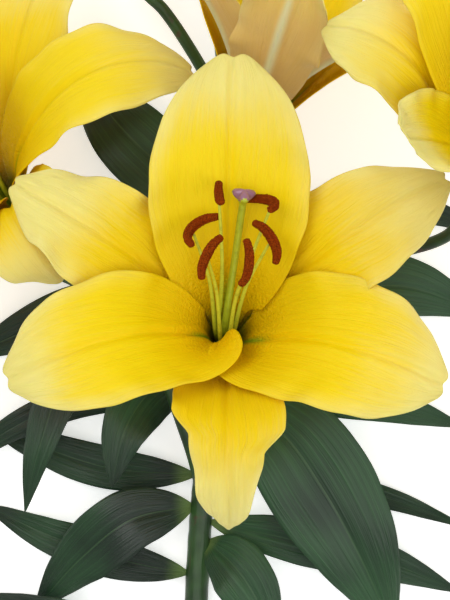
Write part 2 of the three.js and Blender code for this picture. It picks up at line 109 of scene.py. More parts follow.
class SmoothCurve:
    """A centripetal Catmull-Rom curve through points, walked by its length."""

    def __init__(self, points: Sequence[Vector], fineness: int = 240) -> None:
        """Samples the curve.

        Args:
            points: the points that it passes through, in millimetres.
            fineness: how many steps its length is measured in.
        """
        self.points = list(points)
        self.samples = [self._raw(i / fineness) for i in range(fineness + 1)]
        self.marks = [0.0]
        for before, after in zip(self.samples, self.samples[1:]):
            self.marks.append(self.marks[-1] + (after - before).length)

    def _raw(self, share: float) -> Vector:
        """The point at a share of the way through the list of points."""
        last = len(self.points) - 1
        spot = share * last
        index = min(int(spot), last - 1)
        weight = spot - index
        here, there = self.points[index], self.points[index + 1]
        before = self.points[index - 1] if index > 0 else here * 2 - there
        after = self.points[index + 2] if index + 2 <= last else there * 2 - here
        gaps = [max((b - a).length ** 0.5, 1e-4) for a, b in ((before, here), (here, there), (there, after))]
        leave = (here - before) / gaps[0] - (there - before) / (gaps[0] + gaps[1]) + (there - here) / gaps[1]
        reach = (there - here) / gaps[1] - (after - here) / (gaps[1] + gaps[2]) + (after - there) / gaps[2]
        leave, reach = leave * gaps[1], reach * gaps[1]
        square = weight * weight
        cube = square * weight
        return (
            here * (2 * cube - 3 * square + 1)
            + leave * (cube - 2 * square + weight)
            + there * (3 * square - 2 * cube)
            + reach * (cube - square)
        )

    @property
    def length(self) -> float:
        """The curve's length in millimetres."""
        return self.marks[-1]

    def at(self, share: float) -> Vector:
        """The point at a share of the curve's length."""
        goal = min(max(share, 0.0), 1.0) * self.length
        low, high = 0, len(self.marks) - 1
        while high - low > 1:
            middle = (low + high) // 2
            if self.marks[middle] <= goal:
                low = middle
            else:
                high = middle
        span = self.marks[high] - self.marks[low]
        return self.samples[low].lerp(self.samples[high], (goal - self.marks[low]) / span if span else 0.0)

    def heading(self, share: float) -> Vector:
        """The unit direction at a share of the curve's length."""
        step = 0.004
        return (self.at(share + step) - self.at(share - step)).normalized()


class Sections:
    """Turning frames along a curve that never twist about it."""

    def __init__(self, curve: SmoothCurve, count: int, start: Vector = Vector((0.31, 0.23, 0.92))) -> None:
        """Carries a side vector along the curve.

        Args:
            curve: the middle line.
            count: how many sections there are, less one.
            start: roughly where the first side vector points.
        """
        self.curve, self.count = curve, count
        side = start
        self.sides: list[Vector] = []
        for i in range(count + 1):
            along = curve.heading(i / count)
            side = (side - along * side.dot(along)).normalized()
            self.sides.append(side.copy())

    def spot(self, index: int, angle: float, radius: float) -> Vector:
        """The point at an angle and radius around one section."""
        share = index / self.count
        along, side = self.curve.heading(share), self.sides[index]
        other = along.cross(side)
        return self.curve.at(share) + (side * math.cos(angle) + other * math.sin(angle)) * radius


# ---------------------------------------------------------------- the frame


@dataclass(frozen=True)
class Ground:
    """Where the layout's own zero lies in the frame."""

    shift: Vector

    @classmethod
    def from_frame(cls) -> "Ground":
        """Reads the shift from the stem's cut end, which the layout puts at a known place."""
        corners = [v.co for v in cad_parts["stem"].data.vertices]
        lowest = min(v.y for v in corners)
        ring = [v for v in corners if v.y < lowest + 0.5 * MM]
        xs, zs = [v.x for v in ring], [v.z for v in ring]
        middle = Vector(((min(xs) + max(xs)) / 2, lowest, (min(zs) + max(zs)) / 2))
        known = Vector((STEM_WAY[0][0], STEM_WAY[0][1], STEM_WAY[0][2] + STEM_DIAMETER / 2))
        return cls(middle - known * MM)

    def metres(self, spot: Vector) -> Vector:
        """A place of the layout, in millimetres, as metres in the frame."""
        return spot * MM + self.shift


# ---------------------------------------------------------------- mesh making


def pick_only(piece: Piece) -> None:
    """Selects one object and nothing else."""
    bpy.ops.object.select_all(action="DESELECT")
    piece.select_set(True)
    bpy.context.view_layer.objects.active = piece


def apply_modifiers(piece: Piece) -> None:
    """Applies every modifier of a piece."""
    pick_only(piece)
    for modifier in list(piece.modifiers):
        bpy.ops.object.modifier_apply(modifier=modifier.name)


def shape_vertices(piece: Piece, place: Callable[[Vector], Vector]) -> None:
    """Moves each vertex of a fresh primitive to its place on the plant, in metres."""
    for vertex in piece.data.vertices:
        vertex.co = place(vertex.co.copy())
    piece.data.update()


def blade(name: str, rows: int, columns: int, surface: Surface, thickness: float, ground: Ground,
          materials: Sequence[Material]) -> Piece:
    """A thin closed blade: a grid bent to its surface, then thickened.

    Args:
        name: the piece's name.
        rows: faces along it.
        columns: faces across it.
        surface: gives its middle face at (share along, place across from -1 to 1).
        thickness: in millimetres.
        ground: the layout's place in the frame.
        materials: of its front and of its back.

    Returns:
        The finished piece.
    """
    bpy.ops.object.select_all(action="DESELECT")
    bpy.ops.mesh.primitive_grid_add(x_subdivisions=columns, y_subdivisions=rows, size=2.0)
    piece = bpy.context.active_object
    piece.name = piece.data.name = name
    shape_vertices(piece, lambda v: ground.metres(surface((v.y + 1) / 2, v.x)))
    for material in materials:
        piece.data.materials.append(material)
    wall = piece.modifiers.new("wall", "SOLIDIFY")
    wall.thickness = thickness * MM
    wall.offset = 0.0
    wall.material_offset = 1 if len(materials) > 1 else 0
    apply_modifiers(piece)
    piece.data.shade_smooth()
    return piece


def rod(name: str, segments: int, sections: Sections, girth: Girth, ground: Ground,
        materials: Sequence[Material], flat_end: bool = False) -> Piece:
    """A closed round rod: a ball whose rings are drawn out along a line, above the table.

    Args:
        name: the piece's name.
        segments: faces around it.
        sections: the frames along its middle line, one for each ring.
        girth: gives its radius at (share along, angle); its two ends close to points.
        ground: the layout's place in the frame.
        materials: its finishes.
        flat_end: whether its last ring is drawn out to its end.

    Returns:
        The finished piece.
    """
    rings = sections.count
    bpy.ops.object.select_all(action="DESELECT")
    bpy.ops.mesh.primitive_uv_sphere_add(segments=segments, ring_count=rings, radius=1.0)
    piece = bpy.context.active_object
    piece.name = piece.data.name = name

    def place(v: Vector) -> Vector:
        polar = 1.0 - math.acos(min(max(v.z, -1.0), 1.0)) / math.pi
        ring, around = round(polar * rings), math.atan2(v.y, v.x)
        radius = 0.0 if ring in (0, rings) else girth(ring / rings, around)
        spot = sections.spot(rings if flat_end and ring == rings - 1 else ring, around, radius)
        return ground.metres(Vector((spot.x, spot.y, max(spot.z, 0.0))))

    shape_vertices(piece, place)
    for material in materials:
        piece.data.materials.append(material)
    piece.data.shade_smooth()
    return piece


def settle(piece: Piece, slot: str, *nodes: str) -> Piece:
    """Fixes a finished piece to the frame and hides the CAD nodes that it stands for."""
    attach(piece, BODY)
    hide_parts(*nodes)
    log.info("made %s", piece.name)
    return piece


# ---------------------------------------------------------------- finishes


def colour(code: str) -> tuple[float, float, float, float]:
    """A linear colour from a six-digit sRGB code."""
    channels = [int(code[i:i + 2], 16) / 255 for i in (0, 2, 4)]
    linear = [c / 12.92 if c <= 0.04045 else ((c + 0.055) / 1.055) ** 2.4 for c in channels]
    return (*linear, 1.0)


class Wiring:
    """A material's nodes, added one at a time."""

    def __init__(self, name: str) -> None:
        """Starts a material with its shader."""
        self.material = bpy.data.materials.new(name)
        self.material.use_nodes = True
        self.tree = self.material.node_tree
        self.shader = self.tree.nodes["Principled BSDF"]

    def add(self, kind: str, **settings: object) -> bpy.types.Node:
        """Adds a node of a kind and sets its properties."""
        node = self.tree.nodes.new(kind)
        for key, value in settings.items():
            setattr(node, key, value)
        return node

    def join(self, source: Socket, target: Socket) -> None:
        """Links an output to an input."""
        self.tree.links.new(source, target)

    def feed(self, target: Socket, value: object) -> None:
        """Links a socket or writes a value into an input."""
        if isinstance(value, Socket):
            self.join(value, target)
        else:
            target.default_value = value

    def maths(self, operation: str, first: object, second: object = 0.5) -> Socket:
        """One sum of two values."""
        node = self.add("ShaderNodeMath", operation=operation)
        self.feed(node.inputs[0], first)
        self.feed(node.inputs[1], second)
        return node.outputs[0]

    def times(self, first: object, second: object) -> Socket:
        """The product of two values."""
        return self.maths("MULTIPLY", first, second)

    def off_middle(self, across: Socket) -> Socket:
        """How far a place across the piece is from its middle line, up to 0.5."""
        return self.maths("ABSOLUTE", self.maths("SUBTRACT", across, 0.5))

    def scaled(self, value: object, low: float, high: float, to_low: float = 0.0,
               to_high: float = 1.0) -> Socket:
        """A value moved smoothly from one range to another, held at its ends."""
        node = self.add("ShaderNodeMapRange", interpolation_type="SMOOTHSTEP")
        for socket, given in zip(node.inputs, (value, low, high, to_low, to_high)):
            self.feed(socket, given)
        return node.outputs[0]

    def mix(self, share: object, first: object, second: object, blend: str = "MIX") -> Socket:
        """Two colours mixed by a share."""
        node = self.add("ShaderNodeMix", data_type="RGBA", blend_type=blend)
        self.feed(node.inputs[0], share)
        self.feed(node.inputs[6], first)
        self.feed(node.inputs[7], second)
        return node.outputs[2]

    def uv(self) -> tuple[Socket, Socket]:
        """The place across (0 to 1) and along (0 to 1) the piece."""
        spread = self.add("ShaderNodeSeparateXYZ")
        self.join(self.add("ShaderNodeUVMap").outputs[0], spread.inputs[0])
        return spread.outputs[0], spread.outputs[1]

    def stretched(self, across: float, along: float) -> Socket:
        """The piece's own map, stretched by two factors."""
        node = self.add("ShaderNodeMapping")
        self.join(self.add("ShaderNodeUVMap").outputs[0], node.inputs[0])
        node.inputs["Scale"].default_value = (across, along, 1.0)
        return node.outputs[0]

    def fanned(self, across: float, along: float, fan: float) -> Socket:
        """A stretched map whose lines leave the midrib at a slant, towards the tip."""
        place, height = self.uv()
        off = self.off_middle(place)
        slant = self.maths("SUBTRACT", self.times(off, across), self.times(height, fan))
        half = self.times(self.maths("GREATER_THAN", place, 0.5), 7.0)
        node = self.add("ShaderNodeCombineXYZ")
        for socket, given in zip(node.inputs, (slant, self.times(height, along), half)):
            self.join(given, socket)
        return node.outputs[0]

    def noise(self, vector: object, scale: float, detail: float = 3.0, rough: float = 0.5) -> Socket:
        """Smooth noise from 0 to 1 on a vector, or on the object's own coordinates."""
        node = self.add("ShaderNodeTexNoise")
        if vector is None:
            vector = self.add("ShaderNodeTexCoord").outputs["Object"]
        self.join(vector, node.inputs["Vector"])
        node.inputs["Scale"].default_value = scale
        node.inputs["Detail"].default_value = detail
        node.inputs["Roughness"].default_value = rough
        return node.outputs[0]

    def relief(self, height: object, depth: float, under: Socket | None = None) -> Socket:
        """A bump of a depth in millimetres, over another if one is given."""
        node = self.add("ShaderNodeBump")
        self.feed(node.inputs["Height"], height)
        node.inputs["Strength"].default_value = 1.0
        node.inputs["Distance"].default_value = depth * MM
        if under is not None:
            self.join(under, node.inputs["Normal"])
        return node.outputs[0]

    def finish(self, base: object, roughness: object, normal: Socket | None,
               flesh: float = 0.0, flesh_radius: Sequence[float] = (1.0, 0.6, 0.1),
               gloss: float = 0.5) -> Material:
        """Feeds the shader and gives the material back.

        Args:
            base: colour or socket.
            roughness: number or socket.
            normal: the last relief.
            flesh: how much light enters and scatters, 0 to 1.
            flesh_radius: how far each colour scatters, in millimetres.
            gloss: how strongly the skin mirrors light, 0.5 for water.

        Returns:
            The finished material.
        """
        self.feed(self.shader.inputs["Base Color"], base)
        self.feed(self.shader.inputs["Roughness"], roughness)
        if normal is not None:
            self.join(normal, self.shader.inputs["Normal"])
        self.shader.inputs["Subsurface Weight"].default_value = flesh
        self.shader.inputs["Subsurface Radius"].default_value = tuple(r * MM for r in flesh_radius)
        self.shader.inputs["Subsurface Scale"].default_value = 1.0
        self.shader.inputs["Specular IOR Level"].default_value = gloss
        return self.material


@dataclass(frozen=True)
class PetalFinish:
    """Satin yellow petal skin: gold inside, pale lemon at the tip, with fine slanting veins."""

    name: str
    heart: str = "f0c400"
    middle: str = "f7d500"
    tip: str = "f3e384"
    edge: str = "f4e58c"
    furrow: str = "8fae14"
    deep: str = "6a7410"
    pale_from: float = 0.6
    furrow_length: float = 0.30
    furrow_width: float = 0.085
    roughness: float = 0.46

    def make(self) -> Material:
        """Builds the material."""
        w = Wiring(self.name)
        across, along = w.uv()
        off_middle = w.off_middle(across)
        cloud = w.noise(None, 38.0, 2.0)
        veins = w.noise(w.fanned(64.0, 3.0, 15.0), 1.0, 4.0, 0.62)
        unsteady = w.maths("ADD", w.times(cloud, 0.22), w.times(veins, 0.26))
        reach = w.maths("ADD", along, w.maths("SUBTRACT", unsteady, 0.24))
        skin = w.mix(w.scaled(reach, 0.2, 0.55), colour(self.heart), colour(self.middle))
        skin = w.mix(w.scaled(reach, self.pale_from, self.pale_from + 0.34), skin, colour(self.tip))
        edge = w.times(w.scaled(off_middle, 0.34, 0.5), w.scaled(reach, 0.4, 0.8))
        skin = w.mix(w.times(edge, 0.6), skin, colour(self.edge))
        dark = w.mix(1.0, skin, (0.92, 0.86, 0.55, 1.0), "MULTIPLY")
        skin = w.mix(w.times(w.scaled(veins, 0.5, 0.72), 0.5), skin, dark)
        near = w.scaled(off_middle, self.furrow_width, 0.0)
        green = w.times(near, w.scaled(along, self.furrow_length, self.furrow_length * 0.5))
        skin = w.mix(green, skin, colour(self.furrow))
        throat = w.times(w.scaled(along, 0.17, 0.05), 0.85)
        skin = w.mix(throat, skin, colour(self.deep))
        warts = w.times(w.noise(None, 820.0, 1.0), w.scaled(along, 0.42, 0.22))
        bump = w.relief(veins, 0.40)
        bump = w.relief(w.noise(w.fanned(190.0, 9.0, 40.0), 1.0, 2.0), 0.14, bump)
        bump = w.relief(warts, 0.7, bump)
        bump = w.relief(w.noise(None, 900.0, 2.0), 0.06, bump)
        rough = w.scaled(veins, 0.2, 0.8, self.roughness - 0.06, self.roughness + 0.10)
        return w.finish(skin, rough, bump, 0.2, (2.2, 1.4, 0.15), gloss=0.18)


@dataclass(frozen=True)
class LeafFinish:
    """Deep green leaf skin with long parallel veins and a pale midrib."""

    name: str
    dark: str = "081f0f"
    light: str = "234a27"
    midrib: str = "3f6238"
    foot: str = "5f7a3c"
    roughness: float = 0.30

    def make(self) -> Material:
        """Builds the material."""
        w = Wiring(self.name)
        across, along = w.uv()
        off_middle = w.off_middle(across)
        cloud = w.noise(None, 17.0, 2.0)
        skin = w.mix(w.scaled(cloud, 0.32, 0.68), colour(self.dark), colour(self.light))
        veins = w.noise(w.stretched(30.0, 0.7), 1.0, 2.0, 0.5)
        fine = w.noise(w.stretched(95.0, 1.6), 1.0, 2.0, 0.6)
        lighter = w.mix(1.0, skin, (2.1, 1.9, 1.9, 1.0), "MULTIPLY")
        skin = w.mix(w.times(w.scaled(veins, 0.46, 0.68), 0.5), skin, lighter)
        skin = w.mix(w.times(w.scaled(fine, 0.52, 0.70), 0.65), skin, lighter)
        rib = w.scaled(off_middle, 0.020, 0.004)
        skin = w.mix(w.times(rib, 0.4), skin, colour(self.midrib))
        skin = w.mix(w.scaled(along, 0.12, 0.02), skin, colour(self.foot))
        bump = w.relief(veins, 0.45)
        bump = w.relief(fine, 0.22, bump)
        bump = w.relief(w.noise(None, 700.0, 2.0), 0.05, bump)
        rough = w.scaled(cloud, 0.3, 0.7, self.roughness, self.roughness + 0.12)
        return w.finish(skin, rough, bump, 0.03, (0.3, 0.6, 0.1), gloss=0.5)


@dataclass(frozen=True)
class StemFinish:
    """Green stem skin with fine long streaks and a purple-brown blush."""

    name: str
    green: str = "2f5520"
    dark: str = "15300f"
    blush: str = "4a2a20"
    blush_share: float = 0.45

    def make(self) -> Material:
        """Builds the material."""
        w = Wiring(self.name)
        cloud = w.noise(None, 55.0, 3.0)
        skin = w.mix(w.scaled(cloud, 0.3, 0.7), colour(self.dark), colour(self.green))
        streak = w.noise(w.stretched(26.0, 14.0), 1.0, 4.0, 0.65)
        marks = w.scaled(w.noise(None, 120.0, 2.0), 0.60, 0.70)
        skin = w.mix(w.times(w.scaled(streak, 0.55, 0.75), self.blush_share), skin, colour(self.blush))
        skin = w.mix(w.times(marks, 0.7), skin, colour(self.blush))
        bump = w.relief(streak, 0.22)
        bump = w.relief(w.noise(None, 1400.0, 2.0), 0.04, bump)
        return w.finish(skin, w.scaled(streak, 0.3, 0.8, 0.36, 0.52), bump, 0.05, (0.3, 0.6, 0.1))


@dataclass(frozen=True)
class PollenFinish:
    """Dry rust-brown pollen, in grains."""

    name: str
    dark: str = "3a0e01"
    light: str = "b54e0a"

    def make(self) -> Material:
        """Builds the material."""
        w = Wiring(self.name)
        grain = w.noise(None, 2600.0, 2.0, 0.7)
        cloud = w.noise(None, 260.0, 3.0)
        skin = w.mix(w.scaled(grain, 0.3, 0.7), colour(self.dark), colour(self.light))
        skin = w.mix(w.times(w.scaled(cloud, 0.4, 0.7), 0.5), skin, colour("8a2e05"))
        return w.finish(skin, 0.95, w.relief(grain, 0.35), 0.0, gloss=0.08)


@dataclass(frozen=True)
class FleshFinish:
    """Smooth juicy flesh, as of a filament, a style or a stigma."""

    name: str
    base: str
    end: str
    roughness: float = 0.32
    speckle: float = 420.0

    def make(self) -> Material:
        """Builds the material."""
        w = Wiring(self.name)
        _, along = w.uv()
        skin = w.mix(w.scaled(along, 0.0, 0.8), colour(self.base), colour(self.end))
        cloud = w.noise(None, self.speckle, 3.0)
        shade = w.mix(1.0, skin, (0.80, 0.80, 0.72, 1.0), "MULTIPLY")
        skin = w.mix(w.scaled(cloud, 0.45, 0.7), skin, shade)
        rough = w.scaled(cloud, 0.3, 0.7, self.roughness, self.roughness + 0.12)
        return w.finish(skin, rough, w.relief(cloud, 0.12), 0.15, (1.2, 1.0, 0.3))


class Finish(Enum):
    """The plant's finishes."""

    PETAL = PetalFinish("petal_front")
    PETAL_OUTER = PetalFinish("outer_petal_front", middle="f4cf00", pale_from=0.5)
    PETAL_BACK = PetalFinish("petal_back", heart="cba55c", middle="dfba6a", tip="e8cf6c", edge="e8d690",
                             furrow="dcd6a4", deep="a8a35a", furrow_length=1.25, furrow_width=0.08,
                             roughness=0.5)
    LEAF = LeafFinish("leaf_face")
    LEAF_BACK = LeafFinish("leaf_underside", dark="2d4f42", light="4a6f58", midrib="7c9a72", roughness=0.5)
    STEM = StemFinish("stem_skin")
    BUD = PetalFinish("bud_skin", heart="8fa244", middle="bcbc5c", tip="ccc45c", edge="ccc45c",
                      furrow="8fa545", deep="7f9440", furrow_length=1.3, furrow_width=0.02)
    POLLEN = PollenFinish("pollen")
    FILAMENT = FleshFinish("filament_flesh", "a3b422", "cfd23a")
    STYLE = FleshFinish("style_flesh", "8fa51c", "b9c22c")
    STIGMA = FleshFinish("stigma_flesh", "6e4258", "a3748a", 0.18, 900.0)


class Paintbox:
    """Each finish's material, made once."""

    def __init__(self) -> None:
        """Starts empty."""
        self.made: dict[Finish, Material] = {}

    def get(self, finish: Finish) -> Material:
        """The material of a finish."""
        if finish not in self.made:
            self.made[finish] = finish.value.make()
        return self.made[finish]


# ---------------------------------------------------------------- blooms


@dataclass(frozen=True)
class Tepal:
    """One petal of a bloom and how it differs from its neighbours."""

    name: str
    azimuth: float
    layer: float
    outer: bool = False
    edge: float = 0.0
    curl: float = 0.0
    length: float = 1.0
    width: float = 1.0
    ruffle: float = 1.0
    root: float | None = None
    lip: float = 0.0
    flaps: tuple[float, float] | None = None
    apex: float = -0.018


@dataclass(frozen=True)
class Stamen:
    """Where a filament ends, in its bloom's own frame, which way its anther points and how it bends."""

    name: str
    tip: tuple[float, float, float]
    chord: tuple[float, float, float]
    bend: float = 0.2


STAMENS = (
    Stamen("top_left", (-2, 39.5, 71), (1, -12.5, 13), 0.08),
    Stamen("top_right", (16, 36.5, 67.5), (8, -8.3, 12), 0.34),
    Stamen("right", (16, 23.5, 64), (9, -17, -2), 0.24),
    Stamen("bottom_right", (8, 12, 72), (-2, -17.5, 0), 0.12),
    Stamen("bottom_left", (-5.5, 16, 68), (-8, -17, -2), 0.16),
    Stamen("left", (-10, 28, 62), (-9, -12, 5), 0.34),
)
STAMEN_MIDDLE = Vector((3, 26, 0))
STAMEN_ROOM = 5.9
LIP_PLACE, LIP_SPREAD = 0.27, 0.13
FLAP_WIDTH, PAST_FLAP_WIDTH = 1.16, 0.74
STIGMA_RISE = 1.5
STIGMA_PLACE = Vector((8, 44.5, 70))


@dataclass
class Bloom:
    """One open bloom: six tepals, six stamens and a pistil around its axis."""

    name: str
    base: tuple[float, float, float]
    axis: tuple[float, float, float]
    tepals: Sequence[Tepal]
    ground: Ground
    paint: Paintbox
    upper: tuple[float, float, float] = (0, 1, 0)
    size: float = 1.0
    flare: float = TIP_FLARE
    stamen_spread: float = 1.0
    chief: bool = False
    seed: float = 1.0
    matrix: Matrix = field(init=False)

    def __post_init__(self) -> None:
        """Works out how the bloom's own frame stands on the plant."""
        axis = Vector(self.axis).normalized()
        upper = Vector(self.upper)
        upper = (upper - axis * upper.dot(axis)).normalized()
        turn = Matrix((upper.cross(axis), upper, axis)).transposed()
        self.matrix = Matrix.Translation(Vector(self.base)) @ turn.to_4x4()

    def profile(self, tepal: Tepal, steps: int = 60) -> list[tuple[float, float, float]]:
        """A tepal's side view: distance from the axis, height and flare, from base to tip."""
        length = TEPAL_LENGTH * self.size * tepal.length
        table = [(TUBE_RADIUS, CLEARANCE, math.radians(TUBE_FLARE))]
        for i in range(1, steps + 1):
            t = i / steps
            opened = TUBE_FLARE + (self.flare - TUBE_FLARE) * t * tepal.length
            flare = math.radians(opened + tepal.curl * smooth(t, 0.45, 1.0))
            r, h, _ = table[-1]
            step = length / steps
            table.append((r + step * math.sin(flare), h + step * math.cos(flare), flare))
        return table

    @staticmethod
    def half_width(t: float, width: float, outer: bool) -> float:
        """Half a tepal's width at a share of its length."""
        widest = 0.6
        if t < widest:
            return width / 2 * (0.16 + 0.84 * math.sin(math.pi / 2 * t / widest) ** 1.15)
        past = (t - widest) / (1 - widest) * 0.94
        blunt = math.sqrt(1 - past * past)
        return width / 2 * lerp(blunt, 1 - past ** 1.7, 0.35 if outer else 0.27)

    def tepal_surface(self, tepal: Tepal, number: int) -> Surface:
        """The surface that a tepal's middle face follows, in the layout's millimetres."""
        table = self.profile(tepal)
        width = (OUTER_WIDTH if tepal.outer else INNER_WIDTH) * self.size * tepal.width
        first = (-1 if tepal.outer else 1) * (CAD_TEPAL_THICKNESS / 2 + CLEARANCE / 2 + 0.1)
        seed = self.seed * 13.7 + number * 3.1
        wave = 2.8 if tepal.outer else 1.5
        root = tepal.azimuth if tepal.root is None else tepal.root

        def outline(t: float, s: float, lipped: float) -> float:
            half = self.half_width(t, width, tepal.outer)
            shake = 0.10 if tepal.outer else 0.03
            half *= 1 + shake * wobble(seed, t * 8, 1.0 if s > 0 else 4.0) * smooth(t, 0.3, 0.6)
            if lipped:
                half *= 1 + 0.08 * abs(tepal.lip) * bump_at(t, 0.32, 0.14)
                half *= 1 + 0.05 * wobble(seed, t * 90) * bump_at(t, 0.2, 0.1)
            if tepal.flaps:
                end = tepal.flaps[0] if s > 0 else tepal.flaps[1]
                half *= lerp(FLAP_WIDTH, PAST_FLAP_WIDTH, smooth(t, end - 0.03, end + 0.035))
            return half

        def surface(share: float, s: float) -> Vector:
            share = 0.25 * math.sin(math.pi / 2 * share) + 0.75 * share
            lipped = max(s * math.copysign(1.0, tepal.lip), 0.0) if tepal.lip else 0.0
            half = outline(share, s, lipped)
            t = share * (1 - max(tepal.apex, 0.0)) - 0.035 * s * s * smooth(share, 0.8, 1.0)
            t += tepal.apex * bump_at(s, 0.0, 0.3) * smooth(share, 0.8, 1.0)
            spot = min(t, 0.99999) * (len(table) - 1)
            low = int(spot)
            r, h, flare = (lerp(a, b, spot - low) for a, b in zip(table[low], table[low + 1]))
            wrap = bump_at(t, LIP_PLACE, LIP_SPREAD)
            reach = math.radians(lerp(51, 100, smooth(t, 0.16, 0.36)) + 45 * wrap * lipped)
            turn = max(-reach, min(reach, s * half / r))
            x = s * half
            offset = lerp(first, tepal.layer, smooth(t, 0.0, 0.24))
            offset += abs(tepal.lip) * smooth(lipped, 0.2, 1.0) * wrap
            offset += tepal.edge * s * s * smooth(t, 0.3, 0.8)
            grown = smooth(t, 0.1, 0.3) * smooth(1.0 - t, 0.0, 0.08)
            furrow = 1.25 if tepal.outer else 1.5
            offset -= furrow * bump_at(x, 0.0, 1.5) * grown
            offset += 0.55 * (bump_at(abs(x), 3.6, 1.6)) * grown
            offset += 0.16 * wobble(seed, x * 0.55, t * 5) * grown
            offset += 0.9 * wobble(seed + 2, x * 0.06, t * 4.5) * smooth(t, 0.35, 0.6)
            rim = abs(s) ** 3 * smooth(t, 0.36, 0.62) * smooth(1.02 - t, 0.0, 0.18)
            offset += tepal.ruffle * wave * rim * math.sin(t * 21 + seed + (2.1 if s > 0 else 0.0))
            offset += tepal.ruffle * 0.9 * rim * math.sin(t * 47 + seed * 2 + (1.3 if s > 0 else 0.0))
            offset -= 1.6 * s ** 4 * smooth(t, 0.5, 0.75)
            radius = max(r - offset * math.cos(flare), STAMEN_ROOM * lipped)
            angle = math.radians(lerp(root, tepal.azimuth, smooth(t, 0.0, 0.5))) + turn
            local = Vector((radius * math.sin(angle), radius * math.cos(angle), h + offset * math.sin(flare)))
            return self.matrix @ local

        return surface

    def make_tepals(self) -> None:
        """Makes the six tepals."""
        rows, columns = (132, 56) if self.chief else (84, 36)
        for number, tepal in enumerate(self.tepals):
            front = Finish.PETAL_OUTER if tepal.outer else Finish.PETAL
            name = f"{self.name}_{tepal.name}_tepal"
            skins = [self.paint.get(front), self.paint.get(Finish.PETAL_BACK)]
            surface = self.tepal_surface(tepal, number)
            piece = blade(f"{name}_petal", rows, columns, surface, 0.55, self.ground, skins)
            settle(piece, "tepal", name)

    def stamen_tip(self, stamen: Stamen) -> tuple[Vector, Vector]:
        """Where a filament ends in this bloom, and the way in which its anther's ends bend."""
        spread = self.size * self.stamen_spread
        tip = Vector((stamen.tip[0] * spread, stamen.tip[1] * spread, stamen.tip[2] * self.size))
        along = Vector(stamen.chord).normalized()
        inward = STAMEN_MIDDLE * spread - Vector((tip.x, tip.y, 0.0))
        inward = (inward - along * inward.dot(along)).normalized()
        return tip - inward * ANTHER_LENGTH * stamen.bend * 0.5, inward

    def make_filament(self, stamen: Stamen, number: int, node: str) -> None:
        """Makes one filament, thick at its foot and fine at its tip."""
        ring = TUBE_RADIUS - FILAMENT_SETBACK - FILAMENT_DIAMETER / 2
        angle = math.radians(60 * number - 30)
        foot = Vector((ring * math.sin(angle), ring * math.cos(angle), CLEARANCE))
        tip, _ = self.stamen_tip(stamen)
        bend = Vector((tip.x * 0.5, tip.y * 0.5, tip.z * 0.7))
        rise = Vector((foot.x * 1.35, foot.y * 1.35, tip.z * 0.35))
        route = [self.matrix @ p for p in (foot, rise, bend, tip)]
        sections = Sections(SmoothCurve(route), 40)

        def girth(t: float, around: float) -> float:
            return FILAMENT_DIAMETER / 2 * (1.4 - 0.7 * t)

        name, skins = f"{self.name}_{stamen.name}_filament_rod", [self.paint.get(Finish.FILAMENT)]
        settle(rod(name, 14, sections, girth, self.ground, skins), "filament", node)

    def make_anther(self, stamen: Stamen, number: int, node: str) -> None:
        """Makes one anther: a bent bag of pollen, split along its length."""
        along = Vector(stamen.chord).normalized()
        tip, inward = self.stamen_tip(stamen)
        out = tip.normalized()
        out = (out - along * out.dot(along)).normalized()
        gap = CLEARANCE if self.chief else -0.4
        middle = tip + out * (ANTHER_DIAMETER / 2 + gap)
        half = ANTHER_LENGTH / 2
        sag = inward * ANTHER_LENGTH * stamen.bend + out * ANTHER_LENGTH * 0.14
        route = [
            middle - along * half * 0.86 + sag,
            middle - along * half * 0.5 + sag * 0.25,
            middle,
            middle + along * half * 0.5 + sag * 0.25,
            middle + along * half * 0.86 + sag,
        ]
        curve = SmoothCurve([self.matrix @ p for p in route])
        segments, rings = (48, 96) if self.chief else (28, 56)
        sections = Sections(curve, rings, self.matrix.to_3x3() @ out)
        seed = self.seed * 5 + number * 2.3

        def girth(t: float, around: float) -> float:
            radius = ANTHER_DIAMETER / 2 * (0.40 + 0.62 * math.sin(math.pi * (0.04 + 0.92 * t)) ** 0.6)
            radius *= smooth(t, -0.01, 0.03) * smooth(1 - t, -0.01, 0.03)
            slit = 0.34 * bump_at(math.cos(around), 1.0, 0.06)
            slit += 0.16 * bump_at(abs(math.sin(around)), 1.0, 0.10)
            radius *= 1 - slit * smooth(t, 0.06, 0.2) * smooth(1 - t, 0.06, 0.2)
            grain = wobble(seed, t * 60, around * 5) + 0.8 * wobble(seed + 4, t * 150, around * 13)
            return radius * 1.05 + 0.32 * grain

        name, skins = f"{self.name}_{stamen.name}_anther_bag", [self.paint.get(Finish.POLLEN)]
        settle(rod(name, segments, sections, girth, self.ground, skins), "anther", node)

    def make_pistil(self, node: str) -> None:
        """Makes the pistil: a ribbed ovary and style that end in a three-lobed stigma."""
        lean = STIGMA_PLACE * self.stamen_spread
        lean.z = STIGMA_PLACE.z
        reach = lean.normalized() * (STYLE_LENGTH + STIGMA_RISE) * self.size
        route = [Vector((0, 0, CLEARANCE)), Vector((0, 0, STYLE_LENGTH * 0.3)),
                 Vector((reach.x * 0.55, reach.y * 0.55, reach.z * 0.68)), reach]
        curve = SmoothCurve([self.matrix @ p for p in route])
        sections = Sections(curve, 120, self.matrix.to_3x3() @ Vector((0, 1, 0)))
        head = 0.925

        def girth(t: float, around: float) -> float:
            lobes = -math.cos(3 * around)
            radius = lerp(OVARY_RADIUS, STYLE_DIAMETER / 2, smooth(t, 0.22, 0.3))
            radius *= 1 + 0.06 * lobes
            swell = smooth(t, head, 0.972)
            radius = lerp(radius, STIGMA_DIAMETER / 2 * (0.84 + 0.32 * lobes), swell)
            radius *= math.sqrt(max(1 - smooth(t, 0.968, 1.0) ** 2, 0.0))
            groove = 0.2 * bump_at(lobes, -1.0, 0.3) * smooth(t, 0.96, 0.99)
            return radius * (1 - groove)

